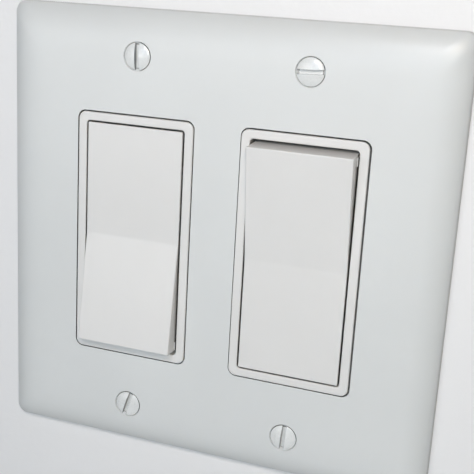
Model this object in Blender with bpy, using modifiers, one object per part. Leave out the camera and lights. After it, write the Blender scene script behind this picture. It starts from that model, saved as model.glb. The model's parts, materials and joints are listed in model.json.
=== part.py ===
"""Two rocker switches behind a two-gang wall plate, as one named object per real piece.

The frame is X right, Y into the wall and Z up, with its origin at the centre of the wall plate on
the wall's surface. All sizes below are in millimetres, and meshes are made in metres.
"""

import math
from collections import namedtuple

import bmesh
import bpy
from mathutils import Matrix

MM = 0.001
OBJECT_NAME = "two_gang_rocker_switch"

# Wall plate
PLATE_WIDTH = 122.4
PLATE_HEIGHT = 120.8
PLATE_DEPTH = 5.5
PLATE_WALL = 2.1
PLATE_LIP = 0.9
PLATE_BORDER = 11.0
PLATE_CORNER = 3.0
RIB_HALF_WIDTH = 0.9
RIB_HALF_HEIGHT = 45.0
OPENING_HALF_WIDTH = 16.7
OPENING_HALF_HEIGHT = 33.4
OPENING_CORNER = 2.3
GANG_PITCH = 46.04
PLATE_SCREW_Z = 48.42
STRAP_SCREW_Z = 41.67

# Each switch hangs this much nearer the plate's centre line than its opening
DEVICE_FLOAT = 0.12

# Front frame and rocker
FRAME_FACE = 6.0
FRAME_HALF_WIDTH = 16.4
FRAME_HALF_HEIGHT = 33.1
FRAME_CORNER = 2.0
WINDOW_HALF_WIDTH = 14.0
WINDOW_HALF_HEIGHT = 30.8
WINDOW_CORNER = 0.9
ROCKER_HALF_WIDTH = 13.6
ROCKER_TILT = math.radians(4.0)
ROCKER_PIVOT_Y = -0.9
ROCKER_PROUD = 0.1
ROCKER_END_GAP = 0.35
ROCKER_WALL = 1.6
SKIRT_BACK = 1.3
PIN_RADIUS = 1.2
BEARING_HALF_HEIGHT = 3.8
BEARING_BACK = 1.8
PLUNGER_REACH = 14.2
PLUNGER_RADIUS = 2.45
PLUNGER_SHOULDER = 10.2
POST_RADIUS = 3.9
POST_BORE = 2.75
SPRING_WIRE = 0.3
EAR_RADIUS = 2.6
FOOT_Z = 28.4

# Pivot to the pressed half of the face, then to the crease, and the length of each half
ROCKER_OUT = FRAME_FACE + ROCKER_PROUD + ROCKER_PIVOT_Y
ROCKER_CREASE = ROCKER_OUT / math.cos(ROCKER_TILT)
ROCKER_HALF_LENGTH = WINDOW_HALF_HEIGHT - ROCKER_END_GAP - ROCKER_OUT * math.tan(ROCKER_TILT)

# Closed end of the bore in the rocker's post, in front of the pivot
BORE_END = ROCKER_CREASE - 2 * ROCKER_WALL

# Strap and housing
STRAP_THICKNESS = 1.3
GAP = 0.3
HOUSING_HALF_WIDTH = 16.3
HOUSING_HALF_HEIGHT = 33.0
HOUSING_WALL = 2.2
HOUSING_BACK = 24.3
HOUSING_FLOOR = 22.5
RIVET_Z = 35.2
RIVET_HOLE = 1.45
HOOK_Z = 20.0
HOOK_SLOT_HALF = 2.2
SLOT_INNER_X = 13.9
GROUND_X = -14.5
GROUND_Z = -39.6
LUG_HALF_WIDTH = 4.0
LUG_END = 37.3
LUG_BACK = 7.3

# Contacts
ARM_PIVOT_Y = 15.2
ARM_RATIO = -1.8
CONTACT_Z = -10.5
TERMINAL_Y = 18.6
TERMINAL_SHEET = 1.0
SIDE_PLATE_X = 12.5
SIDE_SCREW_X = 14.2
SIDE_SCREW_Y = 12.0
SIDE_SCREW_Z = 10.5
WIRE_Z = 17.5
WIRE_HOLE_X = 10.7
RELEASE_X = 7.5

# Directions in which a turned piece's own +Z, its head, can point
TO_FRONT = (math.radians(90), 0, 0)
TO_BACK = (math.radians(-90), 0, 0)
TO_RIGHT = (0, math.radians(90), 0)

# Extrusion planes: columns carry the outline's first and second coordinate and its thickness
PLANES = {
    "XZ": Matrix(((1, 0, 0), (0, 0, -1), (0, 1, 0))).to_4x4(),
    "YZ": Matrix(((0, 0, 1), (1, 0, 0), (0, 1, 0))).to_4x4(),
    "XY": Matrix.Identity(4),
}

Gang = namedtuple("Gang", "name x tilt")


def clear_scene():
    for obj in list(bpy.data.objects):
        bpy.data.objects.remove(obj, do_unlink=True)


def new_collection(name):
    collection = bpy.data.collections.new(name)
    bpy.context.scene.collection.children.link(collection)
    return collection


def new_material(name, colour, roughness, metallic=0.0):
    made = bpy.data.materials.new(name)
    made.use_nodes = True
    shader = made.node_tree.nodes["Principled BSDF"]
    shader.inputs["Base Color"].default_value = (*colour, 1.0)
    shader.inputs["Roughness"].default_value = roughness
    shader.inputs["Metallic"].default_value = metallic
    return made


# ---------------------------------------------------------------- outlines


def arc(centre, radius, start, end, steps):
    """Points on an arc, angles in degrees."""
    points = []
    for i in range(steps + 1):
        angle = math.radians(start + (end - start) * i / steps)
        points.append((centre[0] + radius * math.cos(angle), centre[1] + radius * math.sin(angle)))
    return points


def circle(centre, radius, steps=16):
    return arc(centre, radius, 0, 360, steps)[:-1]


def rounded_rectangle(half_x, half_y, radius, centre=(0.0, 0.0), steps=4):
    """Counter-clockwise outline, starting at the lower right corner."""
    points = []
    for turn, (sx, sy) in enumerate(((1, -1), (1, 1), (-1, 1), (-1, -1))):
        middle = (centre[0] + sx * (half_x - radius), centre[1] + sy * (half_y - radius))
        points += arc(middle, radius, -90 + 90 * turn, 90 * turn, steps)
    return points


def strip(points, thickness):
    """Outline of a bent sheet of even thickness along a line of points."""
    left, right = [], []
    for i, (x, y) in enumerate(points):
        before = points[max(i - 1, 0)]
        after = points[min(i + 1, len(points) - 1)]
        along = math.atan2(after[1] - before[1], after[0] - before[0])
        dx, dy = -math.sin(along) * thickness / 2, math.cos(along) * thickness / 2
        left.append((x + dx, y + dy))
        right.append((x - dx, y - dy))
    return right + left[::-1]


# ---------------------------------------------------------------- objects


class Shop:
    """Makes the pieces, and keeps the collections and materials they go in."""

    def __init__(self):
        self.pieces = new_collection(OBJECT_NAME)
        self.cutters = new_collection(OBJECT_NAME + "_cutters")
        self.materials = {
            "plate": new_material("plate", (0.74, 0.76, 0.76), 0.32),
            "white": new_material("white", (0.80, 0.79, 0.78), 0.30),
            "paint": new_material("paint", (0.72, 0.74, 0.74), 0.35),
            "thermoplastic": new_material("thermoplastic", (0.62, 0.62, 0.60), 0.5),
            "zinc": new_material("zinc", (0.62, 0.63, 0.64), 0.38, 1.0),
            "brass": new_material("brass", (0.78, 0.58, 0.26), 0.3, 1.0),
            "silver": new_material("silver", (0.86, 0.85, 0.82), 0.25, 1.0),
            "spring_steel": new_material("spring_steel", (0.55, 0.56, 0.58), 0.3, 1.0),
            "green": new_material("green", (0.06, 0.30, 0.12), 0.35, 0.6),
            "nylon": new_material("nylon", (0.85, 0.84, 0.80), 0.45),
            "fibre": new_material("fibre", (0.45, 0.40, 0.33), 0.85),
        }

    def piece(self, obj, slot, parent=None, at=(0.0, 0.0, 0.0)):
        """Files an object as one of the parts, with its material, its place and its parent."""
        obj.data.materials.clear()
        obj.data.materials.append(self.materials[slot])
        obj.location = [value * MM for value in at]
        obj.parent = parent
        move_to(obj, self.pieces)
        return obj

    def operand(self, target, tool, operation):
        tool.parent = target
        tool.hide_render = True
        tool.display_type = "WIRE"
        move_to(tool, self.cutters)
        step = target.modifiers.new(tool.name, "BOOLEAN")
        step.operation = operation
        step.object = tool
        step.solver = "EXACT"

    def cut(self, target, tool):
        self.operand(target, tool, "DIFFERENCE")

    def join(self, target, tool):
        self.operand(target, tool, "UNION")


def move_to(obj, collection):
    for owner in list(obj.users_collection):
        owner.objects.unlink(obj)
    collection.objects.link(obj)


def new_empty(name, at, rotation_x):
    empty = bpy.data.objects.new(name, None)
    empty.location = [value * MM for value in at]
    empty.rotation_euler = (rotation_x, 0, 0)
    bpy.context.scene.collection.objects.link(empty)
    return empty


def mesh_object(name, mesh):
    obj = bpy.data.objects.new(name, mesh)
    bpy.context.scene.collection.objects.link(obj)
    return obj


def tidy_mesh(mesh):
    """Welds doubled points and turns every face outward."""
    work = bmesh.new()
    work.from_mesh(mesh)
    bmesh.ops.remove_doubles(work, verts=work.verts, dist=0.001 * MM)
    bmesh.ops.recalc_face_normals(work, faces=work.faces)
    work.to_mesh(mesh)
    work.free()


def mesh_from_curve(name, curve):
    """Turns a curve into a mesh, and removes the curve."""
    guide = mesh_object(name + "_guide", curve)
    bpy.context.view_layer.update()
    graph = bpy.context.evaluated_depsgraph_get()
    mesh = bpy.data.meshes.new_from_object(guide.evaluated_get(graph))
    bpy.data.objects.remove(guide, do_unlink=True)
    bpy.data.curves.remove(curve)
    mesh.name = name
    tidy_mesh(mesh)
    return mesh


def extrusion(name, loops, low, high, plane="XZ"):
    """A solid from one outline and its holes, between two levels of the plane's normal axis."""
    curve = bpy.data.curves.new(name, "CURVE")
    curve.dimensions = "2D"
    curve.fill_mode = "BOTH"
    curve.extrude = (high - low) / 2 * MM
    for loop in loops:
        spline = curve.splines.new("POLY")
        spline.points.add(len(loop) - 1)
        for point, (x, y) in zip(spline.points, loop):
            point.co = (x * MM, y * MM, 0, 1)
        spline.use_cyclic_u = True
    mesh = mesh_from_curve(name, curve)
    middle = (low + high) / 2 * MM
    if plane == "XZ":
        middle = -middle
    mesh.transform(PLANES[plane] @ Matrix.Translation((0, 0, middle)))
    return mesh_object(name, mesh)


def block(name, low, high):
    """A box between two corners."""
    mesh = bpy.data.meshes.new(name)
    work = bmesh.new()
    bmesh.ops.create_cube(work, size=MM)
    size = [b - a for a, b in zip(low, high)]
    middle = [(a + b) / 2 * MM for a, b in zip(low, high)]
    bmesh.ops.scale(work, vec=size, verts=work.verts)
    bmesh.ops.translate(work, vec=middle, verts=work.verts)
    work.to_mesh(mesh)
    work.free()
    return mesh_object(name, mesh)


def turned(name, profile, facing, steps=20):
    """A turned piece: its profile runs from the head's crown down the outside to the tail."""
    mesh = bpy.data.meshes.new(name)
    points = [(radius * MM, 0, height * MM) for radius, height in profile]
    edges = [(i, i + 1) for i in range(len(points) - 1)]
    mesh.from_pydata(points, edges, [])
    obj = mesh_object(name, mesh)
    obj.rotation_euler = facing
    screw = obj.modifiers.new("turn", "SCREW")
    screw.axis = "Z"
    screw.steps = steps
    screw.render_steps = steps
    screw.use_merge_vertices = True
    screw.merge_threshold = 0.00001
    screw.use_smooth_shade = True
    return obj


def rod(name, radius, low, high, axis="X", steps=16):
    """A straight round bar along X or Y."""
    mesh = bpy.data.meshes.new(name)
    work = bmesh.new()
    turn = Matrix.Rotation(math.radians(90), 4, "Y" if axis == "X" else "X")
    middle = (low + high) / 2 * MM
    place = Matrix.Translation((middle, 0, 0) if axis == "X" else (0, middle, 0))
    length = (high - low) * MM
    bmesh.ops.create_cone(work, cap_ends=True, segments=steps, radius1=radius * MM,
                          radius2=radius * MM, depth=length, matrix=place @ turn)
    work.to_mesh(mesh)
    work.free()
    return mesh_object(name, mesh)


def coil(name, radius, wire, low, high, turns, steps=12):
    """A compression spring along its own Z, with its ends' wire centres at the two levels."""
    curve = bpy.data.curves.new(name, "CURVE")
    curve.dimensions = "3D"
    curve.bevel_depth = wire * MM
    curve.bevel_resolution = 2
    curve.use_fill_caps = True
    count = turns * steps
    spline = curve.splines.new("POLY")
    spline.points.add(count)
    for i, point in enumerate(spline.points):
        angle = 2 * math.pi * i / steps
        height = low + (high - low) * i / count
        point.co = (radius * math.cos(angle) * MM, radius * math.sin(angle) * MM, height * MM, 1)
    return mesh_object(name, mesh_from_curve(name, curve))


def round_edges(obj, width, segments=2, angle=50):
    bevel = obj.modifiers.new("round", "BEVEL")
    bevel.width = width * MM
    bevel.segments = segments
    bevel.limit_method = "ANGLE"
    bevel.angle_limit = math.radians(angle)
    return bevel


# ---------------------------------------------------------------- wall plate


def plate_ring(work, inset, depth):
    """One closed row of points round the plate, at a distance in from its edge and off the wall."""
    half_x = PLATE_WIDTH / 2 - inset
    half_z = PLATE_HEIGHT / 2 - inset
    outline = rounded_rectangle(half_x, half_z, PLATE_CORNER)
    return [work.verts.new((x * MM, -depth * MM, z * MM)) for x, z in outline]


def plate_rings(work, inset, depth, steps):
    """Rows of points up a domed border, from the wall to the flat face."""
    rings = [plate_ring(work, inset, 0)]
    rise = depth - PLATE_LIP
    for i in range(steps + 1):
        angle = math.pi / 2 * i / steps
        across = inset + PLATE_BORDER * (1 - math.cos(angle))
        rings.append(plate_ring(work, across, PLATE_LIP + rise * math.sin(angle)))
    return rings


def bridge(work, first, second):
    count = len(first)
    for i in range(count):
        j = (i + 1) % count
        work.faces.new((first[i], first[j], second[j], second[i]))


def make_wall_plate(shop):
    work = bmesh.new()
    outside = plate_rings(work, 0, PLATE_DEPTH, 7)
    inside = plate_rings(work, PLATE_WALL, PLATE_DEPTH - PLATE_WALL, 5)
    for rings in (outside, inside):
        for first, second in zip(rings, rings[1:]):
            bridge(work, first, second)
        work.faces.new(rings[-1])
    bridge(work, outside[0], inside[0])
    bmesh.ops.recalc_face_normals(work, faces=work.faces)
    mesh = bpy.data.meshes.new("wall_plate")
    work.to_mesh(mesh)
    work.free()
    plate = shop.piece(mesh_object("wall_plate", mesh), "plate")
    skin = -PLATE_DEPTH + PLATE_WALL / 2
    shop.join(plate, block("centre_rib", (-RIB_HALF_WIDTH, skin, -RIB_HALF_HEIGHT),
                           (RIB_HALF_WIDTH, 0, RIB_HALF_HEIGHT)))
    for side, x in (("left", -GANG_PITCH / 2), ("right", GANG_PITCH / 2)):
        outline = rounded_rectangle(OPENING_HALF_WIDTH, OPENING_HALF_HEIGHT, OPENING_CORNER, (x, 0))
        shop.cut(plate, extrusion(side + "_opening", [outline], -9, 2))
        for end, z in (("top", PLATE_SCREW_Z), ("bottom", -PLATE_SCREW_Z)):
            sink = turned(f"{side}_{end}_countersink",
                          [(0, 2), (3.8, 2), (3.8, -0.25), (2.1, -1.7), (2.1, -6), (0, -6)], TO_FRONT)
            sink.location = (x * MM, -PLATE_DEPTH * MM, z * MM)
            shop.cut(plate, sink)


def make_plate_screw(shop, name, x, z, slot_angle):
    profile = [(0, 0.6), (1.6, 0.5), (2.7, 0.25), (3.55, -0.2), (1.65, -1.95), (1.65, -11.6),
               (1.1, -12.4), (0, -12.4)]
    screw = shop.piece(turned(name, profile, TO_FRONT), "paint", at=(x, -PLATE_DEPTH, z))
    slot = block(name + "_slot", (-0.57, -6, -0.75), (0.57, 6, 3))
    slot.rotation_euler = (0, 0, math.radians(slot_angle))
    shop.cut(screw, slot)


# ---------------------------------------------------------------- front frame and rocker


def make_front_frame(shop, gang):
    """The white frame: a bearing block each side for the rocker's pins, and hooks behind the strap."""
    loops = [rounded_rectangle(FRAME_HALF_WIDTH, FRAME_HALF_HEIGHT, FRAME_CORNER),
             rounded_rectangle(WINDOW_HALF_WIDTH, WINDOW_HALF_HEIGHT, WINDOW_CORNER)]
    frame = extrusion(gang.name + "_front_frame", loops, -FRAME_FACE, -STRAP_THICKNESS - GAP)
    shop.piece(frame, "white", at=(gang.x, 0, 0))
    round_edges(frame, 0.35)
    for sx in (-1, 1):
        for sz in (-1, 1):
            z = sz * HOOK_Z
            shank = sorted((sx * 14.45, sx * 15.75))
            barb = sorted((sx * 14.45, sx * 16.6))
            hook = block(f"{gang.name}_hook_{sx}_{sz}", (shank[0], -2.6, z - 1.8),
                         (shank[1], 1.2, z + 1.8))
            tip = block(f"{gang.name}_barb_{sx}_{sz}", (barb[0], 0.4, z - 1.6),
                        (barb[1], 1.6, z + 1.6))
            shop.join(frame, hook)
            shop.join(frame, tip)
        low, high = sorted((sx * WINDOW_HALF_WIDTH, sx * FRAME_HALF_WIDTH))
        bearing = block(f"{gang.name}_bearing_{sx}",
                        (low + 0.05, -2.6, -BEARING_HALF_HEIGHT),
                        (high - 0.05, BEARING_BACK, BEARING_HALF_HEIGHT))
        shop.join(frame, bearing)
    bore = rod(gang.name + "_bore", PIN_RADIUS + GAP, -20, 20)
    bore.location = (0, ROCKER_PIVOT_Y * MM, 0)
    shop.cut(frame, bore)


def rocker_side(wall):
    """Side view of the rocker about its pivot, shrunk by the wall: shallow V face, square ends."""
    rise = ROCKER_HALF_LENGTH * math.sin(ROCKER_TILT)
    half = ROCKER_HALF_LENGTH * math.cos(ROCKER_TILT) - wall
    face = -ROCKER_CREASE + wall
    back = SKIRT_BACK + 2 * wall
    return [(face - rise, half), (face, 0), (face - rise, -half), (back, -half), (back, half)]


def make_rocker(shop, gang, pivot):
    rocker = extrusion(gang.name + "_rocker", [rocker_side(0)], -ROCKER_HALF_WIDTH,
                       ROCKER_HALF_WIDTH, "YZ")
    shop.piece(rocker, "white", pivot)
    round_edges(rocker, 0.5, 3)
    inner = ROCKER_HALF_WIDTH - ROCKER_WALL
    shop.cut(rocker, extrusion(gang.name + "_rocker_hollow", [rocker_side(ROCKER_WALL)],
                               -inner, inner, "YZ"))
    ear = [(-4, -EAR_RADIUS), *arc((0, 0), EAR_RADIUS, -90, 90, 8), (-4, EAR_RADIUS)]
    for side, sx in (("near", -1), ("far", 1)):
        low, high = sorted((sx * (inner - 0.2), sx * (ROCKER_HALF_WIDTH - 0.1)))
        shop.join(rocker, extrusion(f"{gang.name}_ear_{side}", [ear], low, high, "YZ"))
        low, high = sorted((sx * (inner + 0.2), sx * 15.7))
        shop.join(rocker, rod(f"{gang.name}_pin_{side}", PIN_RADIUS, low, high))
    root = ROCKER_CREASE - ROCKER_WALL + 0.5
    mouth = 5.2 - PLUNGER_REACH
    post = turned(gang.name + "_post", [(0, root), (POST_RADIUS, root), (POST_RADIUS, mouth),
                                        (POST_BORE, mouth), (POST_BORE, BORE_END), (0, BORE_END)],
                  TO_FRONT)
    shop.join(rocker, post)
    for sx in (-1, 1):
        for sz in (-1, 1):
            z = sz * FOOT_Z
            low, high = sorted((sx * 12.6, sx * 13.85))
            foot = block(f"{gang.name}_foot_{sx}_{sz}", (low, -3.3, z - 1.1), (high, 0.8, z + 1.1))
            shop.join(rocker, foot)


def make_plunger(shop, gang, pivot):
    tip = -PLUNGER_REACH
    shoulder = tip + PLUNGER_SHOULDER
    profile = [(0, tip + 12.7), (1.3, tip + 12.7), (1.3, shoulder), (PLUNGER_RADIUS, shoulder),
               (PLUNGER_RADIUS, tip + 3.5), (1.35, tip + 0.9), (0.9, tip + 0.2), (0, tip)]
    shop.piece(turned(gang.name + "_plunger", profile, TO_FRONT), "nylon", pivot)


def make_spring(shop, gang, pivot):
    low = PLUNGER_SHOULDER - PLUNGER_REACH + 2 * SPRING_WIRE
    high = BORE_END - 2 * SPRING_WIRE
    spring = coil(gang.name + "_spring", 2.0, SPRING_WIRE, low, high, 6, 10)
    spring.rotation_euler = TO_FRONT
    shop.piece(spring, "spring_steel", pivot)


# ---------------------------------------------------------------- strap


def strap_outline():
    """Ear at each end, a neck for the box screw, and wide rails beside the rocker."""
    right = [(19.2, 36.5), (11.0, 39.5), (11.0, 45.6), (17.8, 46.8), (17.8, 52.0), (16.8, 53.0)]
    corner = right + [(-x, z) for x, z in right[::-1]]
    return corner + [(-x, -z) for x, z in corner]


def slot_outline(half_x, half_z, centre):
    return rounded_rectangle(half_x, half_z, half_z - 0.01, centre)


def make_strap(shop, gang):
    loops = [strap_outline(), rounded_rectangle(14.15, 31.0, 1.0)]
    for end in (-1, 1):
        loops.append(circle((0, end * RIVET_Z), RIVET_HOLE))
        loops.append(slot_outline(3.3, 2.15, (0, end * STRAP_SCREW_Z)))
        loops.append(circle((0, end * PLATE_SCREW_Z), 2.1))
    strap = extrusion(gang.name + "_strap", loops, -STRAP_THICKNESS, 0)
    shop.piece(strap, "zinc", at=(gang.x, 0, 0))
    for sx in (-1, 1):
        for sz in (-1, 1):
            low, high = sorted((sx * SLOT_INNER_X, sx * 16.0))
            z = sz * HOOK_Z
            shop.cut(strap, block(f"{gang.name}_hook_slot_{sx}_{sz}", (low, -4, z - HOOK_SLOT_HALF),
                                  (high, 4, z + HOOK_SLOT_HALF)))
        low, high = sorted((sx * SLOT_INNER_X, sx * 16.7))
        shop.cut(strap, block(f"{gang.name}_bearing_slot_{sx}", (low, -4, -BEARING_HALF_HEIGHT - GAP),
                              (high, 4, BEARING_HALF_HEIGHT + GAP)))
    tab = extrusion(gang.name + "_ground_tab", [rounded_rectangle(5.6, 4.5, 1.5, (-13.6, -39.4))],
                    -STRAP_THICKNESS, 0)
    shop.join(strap, tab)
    hole = rod(gang.name + "_ground_hole", 2.2, -4, 4, "Y")
    hole.location = (GROUND_X * MM, 0, GROUND_Z * MM)
    shop.cut(strap, hole)


def make_strap_hardware(shop, gang):
    """Box screws with their captive washers, rivets and the ground screw."""
    for end, sz in (("top", 1), ("bottom", -1)):
        profile = [(0, 1.7), (2.5, 1.65), (3.4, 1.0), (3.4, 0), (1.7, 0), (1.7, -20.5),
                   (1.1, -21.5), (0, -21.5)]
        screw = turned(f"{gang.name}_box_screw_{end}", profile, TO_FRONT, 16)
        shop.piece(screw, "zinc", at=(gang.x, -STRAP_THICKNESS - 0.2, sz * STRAP_SCREW_Z))
        shop.cut(screw, block(f"{screw.name}_slot", (-5, -0.5, 0.75), (5, 0.5, 3)))
        washer = extrusion(f"{gang.name}_captive_washer_{end}",
                           [rounded_rectangle(3.7, 3.7, 0.8, (0, sz * STRAP_SCREW_Z), 2),
                            circle((0, sz * STRAP_SCREW_Z), 2.0, 12)], GAP, GAP + 0.6)
        shop.piece(washer, "fibre", at=(gang.x, 0, 0))
        rivet_profile = [(0, 1.2), (1.4, 1.1), (1.9, 0.5), (1.9, 0), (1.15, 0), (1.15, -9.2),
                         (1.7, -9.2), (1.5, -9.8), (0, -9.9)]
        rivet = turned(f"{gang.name}_rivet_{end}", rivet_profile, TO_BACK, 12)
        shop.piece(rivet, "zinc", at=(gang.x, 7.6, sz * RIVET_Z))
    ground_profile = [(0, 2.4), (3.3, 2.3), (3.9, 1.7), (3.9, 0), (1.95, 0), (1.95, -2.6),
                      (1.5, -3.0), (0, -3.0)]
    ground = turned(gang.name + "_ground_screw", ground_profile, TO_BACK, 18)
    shop.piece(ground, "green", at=(gang.x + GROUND_X, GAP + 0.1, GROUND_Z))
    shop.cut(ground, block(ground.name + "_slot", (-6, -0.6, 1.3), (6, 0.6, 4)))


# ---------------------------------------------------------------- housing and contacts


def make_housing(shop, gang):
    outer = rounded_rectangle(HOUSING_HALF_WIDTH, HOUSING_HALF_HEIGHT, 2.0)
    housing = extrusion(gang.name + "_housing", [outer], GAP, HOUSING_BACK)
    shop.piece(housing, "thermoplastic", at=(gang.x, 0, 0))
    round_edges(housing, 0.6)
    cavity = rounded_rectangle(HOUSING_HALF_WIDTH - HOUSING_WALL, HOUSING_HALF_HEIGHT - HOUSING_WALL,
                               1.0, steps=2)
    shop.cut(housing, extrusion(gang.name + "_cavity", [cavity], -2, HOUSING_FLOOR))
    platform_low = TERMINAL_Y + TERMINAL_SHEET + 0.2
    shop.join(housing, block(gang.name + "_platform", (-7, platform_low, -14.3),
                             (12.2, HOUSING_FLOOR + 0.8, 14.3)))
    for end, sz in (("top", 1), ("bottom", -1)):
        low, high = sorted((sz * 32.0, sz * LUG_END))
        lug = block(f"{gang.name}_lug_{end}", (-LUG_HALF_WIDTH, GAP + 0.1, low),
                    (LUG_HALF_WIDTH, LUG_BACK, high))
        shop.join(housing, lug)
        hole = rod(f"{gang.name}_lug_hole_{end}", RIVET_HOLE, -2, 9, "Y", 12)
        hole.location = (0, 0, sz * RIVET_Z * MM)
        shop.cut(housing, hole)
        window = block(f"{gang.name}_screw_window_{end}", (13.4, 7.1, sz * SIDE_SCREW_Z - 4.9),
                       (18, 16.9, sz * SIDE_SCREW_Z + 4.9))
        shop.cut(housing, window)
        wire = rod(f"{gang.name}_wire_hole_{end}", 1.2, 20, 27, "Y", 12)
        wire.location = (WIRE_HOLE_X * MM, 0, sz * WIRE_Z * MM)
        shop.cut(housing, wire)
        release = block(f"{gang.name}_release_{end}", (RELEASE_X - 1.3, 20, sz * WIRE_Z - 0.8),
                        (RELEASE_X + 1.3, 27, sz * WIRE_Z + 0.8))
        shop.cut(housing, release)
    for sx in (-1, 1):
        for sz in (-1, 1):
            low, high = sorted((sx * SLOT_INNER_X, sx * 18))
            z = sz * HOOK_Z
            shop.cut(housing, block(f"{gang.name}_hook_notch_{sx}_{sz}",
                                    (low, -2, z - HOOK_SLOT_HALF), (high, 2.2, z + HOOK_SLOT_HALF)))
        low, high = sorted((sx * SLOT_INNER_X, sx * 18))
        shop.cut(housing, block(f"{gang.name}_bearing_notch_{sx}",
                                (low, -2, -BEARING_HALF_HEIGHT - GAP),
                                (high, BEARING_BACK + GAP, BEARING_HALF_HEIGHT + GAP)))


def make_contact_arm(shop, gang, pivot):
    """See-saw strip with a round axle formed on its back, and its silver contact."""
    arm = extrusion(gang.name + "_contact_arm", [rounded_rectangle(4.0, 12.6, 1.5, steps=3)],
                    -1.5, -0.7)
    shop.piece(arm, "brass", pivot)
    shop.join(arm, rod(gang.name + "_axle", 0.9, -6.4, 6.4, steps=12))
    hole = rod(gang.name + "_arm_hole", 1.1, -3, 0, "Y", 12)
    hole.location = (0, 0, CONTACT_Z * MM)
    shop.cut(arm, hole)
    profile = [(0, 0.5), (1.2, 0.42), (1.8, 0.15), (1.8, -0.4), (0.8, -0.4), (0.8, -1.4), (0, -1.4)]
    contact = turned(gang.name + "_moving_contact", profile, TO_BACK, 12)
    shop.piece(contact, "silver", pivot, at=(0, 0, CONTACT_Z))


def side_plate(name, sz):
    """Upright of a terminal: takes the side screw, and the wire clamp bears on it."""
    low, high = sorted((sz * 6.5, sz * 19.6))
    corners = [(7.5, low), (TERMINAL_Y + TERMINAL_SHEET, low), (TERMINAL_Y + TERMINAL_SHEET, high),
               (7.5, high)]
    hole = circle((SIDE_SCREW_Y, sz * SIDE_SCREW_Z), 2.3)
    return extrusion(name, [corners, hole], SIDE_PLATE_X, SIDE_PLATE_X + 1.1, "YZ")


def make_terminals(shop, gang):
    top, bottom = TERMINAL_Y, TERMINAL_Y + TERMINAL_SHEET
    common = block(gang.name + "_common_terminal", (-6, top, -3.2), (SIDE_PLATE_X + 0.5, bottom, 14))
    shop.piece(common, "brass", at=(gang.x, 0, 0))
    shop.join(common, side_plate(gang.name + "_common_side", 1))
    notch = arc((ARM_PIVOT_Y, 0), 1.25, 90, -90, 8)
    cradle = [(top + 0.5, -2.6), (top + 0.5, 2.6), (14.4, 2.6), (14.4, 1.25), *notch,
              (14.4, -1.25), (14.4, -2.6)]
    for side, sx in (("near", -1), ("far", 1)):
        low, high = sorted((sx * 4.7, sx * 5.7))
        shop.join(common, extrusion(f"{gang.name}_cradle_{side}", [cradle], low, high, "YZ"))
    plate = extrusion(gang.name + "_line_terminal",
                      [[(-4, -14), (SIDE_PLATE_X + 0.5, -14), (SIDE_PLATE_X + 0.5, -7.2), (-4, -7.2)],
                       circle((0, CONTACT_Z), 1.3, 12)], top, bottom)
    shop.piece(plate, "brass", at=(gang.x, 0, 0))
    shop.join(plate, side_plate(gang.name + "_line_side", -1))
    profile = [(0, 0.75), (1.9, 0.75), (1.9, 0), (1.0, 0), (1.0, -1.1), (0, -1.1)]
    button = turned(gang.name + "_fixed_contact", profile, TO_FRONT, 12)
    shop.piece(button, "silver", at=(gang.x, TERMINAL_Y - GAP, CONTACT_Z))


def make_terminal_hardware(shop, gang):
    leaf = strip([(7.4, 22.2), (7.4, 13.0), (7.9, 12.0), (9.0, 12.1), (11.9, 16.8)], 0.5)
    for end, sz in (("common", 1), ("line", -1)):
        profile = [(0, 2.5), (3.5, 2.4), (4.2, 1.8), (4.2, 0), (1.95, 0), (1.95, -5.8), (1.5, -6.3),
                   (0, -6.3)]
        screw = turned(f"{gang.name}_{end}_screw", profile, TO_RIGHT, 18)
        shop.piece(screw, "brass", at=(gang.x + SIDE_SCREW_X, SIDE_SCREW_Y, sz * SIDE_SCREW_Z))
        shop.cut(screw, block(f"{screw.name}_slot", (-0.6, -6, 1.3), (0.6, 6, 4)))
        middle = sz * WIRE_Z
        clamp = extrusion(f"{gang.name}_{end}_wire_clamp", [leaf], middle - 1.7, middle + 1.7, "XY")
        shop.piece(clamp, "spring_steel", at=(gang.x, 0, 0))


# ---------------------------------------------------------------- assembly


def make_switch(shop, gang):
    rocker_pivot = new_empty(gang.name + "_rocker_pivot", (gang.x, ROCKER_PIVOT_Y, 0), gang.tilt)
    arm_pivot = new_empty(gang.name + "_arm_pivot", (gang.x, ARM_PIVOT_Y, 0), gang.tilt * ARM_RATIO)
    make_front_frame(shop, gang)
    make_rocker(shop, gang, rocker_pivot)
    make_plunger(shop, gang, rocker_pivot)
    make_spring(shop, gang, rocker_pivot)
    make_strap(shop, gang)
    make_strap_hardware(shop, gang)
    make_housing(shop, gang)
    make_contact_arm(shop, gang, arm_pivot)
    make_terminals(shop, gang)
    make_terminal_hardware(shop, gang)


def main():
    clear_scene()
    shop = Shop()
    make_wall_plate(shop)
    for side, x, top_slot, bottom_slot in (("left", -GANG_PITCH / 2, 1, -17),
                                           ("right", GANG_PITCH / 2, 92, -4)):
        make_plate_screw(shop, side + "_plate_screw_top", x, PLATE_SCREW_Z, top_slot)
        make_plate_screw(shop, side + "_plate_screw_bottom", x, -PLATE_SCREW_Z, bottom_slot)
    device_x = GANG_PITCH / 2 - DEVICE_FLOAT
    make_switch(shop, Gang("left", -device_x, -ROCKER_TILT))
    make_switch(shop, Gang("right", device_x, ROCKER_TILT))


main()
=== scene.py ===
"""Looks for the two-gang rocker switch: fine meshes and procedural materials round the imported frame.

Lengths in the constants are millimetres unless a name says otherwise. X is right, Y into the wall, Z up.
"""

import json
import math

import bmesh
import bpy
from mathutils import Euler, Matrix, Vector


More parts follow.
